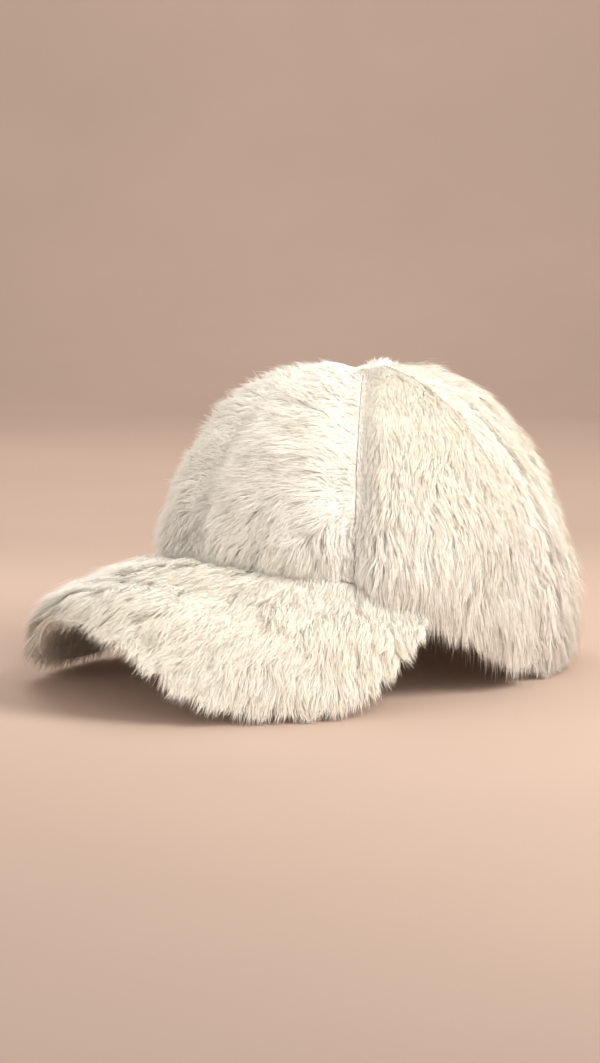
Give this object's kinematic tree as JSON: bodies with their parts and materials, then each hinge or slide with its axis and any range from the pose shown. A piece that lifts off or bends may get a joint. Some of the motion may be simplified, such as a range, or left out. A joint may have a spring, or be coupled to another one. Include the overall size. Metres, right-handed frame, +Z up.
{
  "type": "fur baseball cap",
  "caption": "Baseball cap in long ivory fur with a domed panelled crown and a curved fur-covered bill, resting on its bill and the back of its hem.",
  "frame": {"origin": "middle of the cap's outline on the surface that it rests on", "axes": "+Z up, +Y towards the back of the head and so away from the bill, +X towards the wearer's left"},
  "size_m": [0.2074, 0.3014, 0.1597],
  "materials": {
    "fur": "long silky ivory pile, combed into soft pointed locks"
  },
  "bodies": {
    "root": {"crown_front_left": "fur", "crown_front_right": "fur", "crown_side_left": "fur", "crown_side_right": "fur", "crown_back_left": "fur", "crown_back_right": "fur", "bill_top": "fur", "bill_under": "fur"}
  },
  "joints": []
}
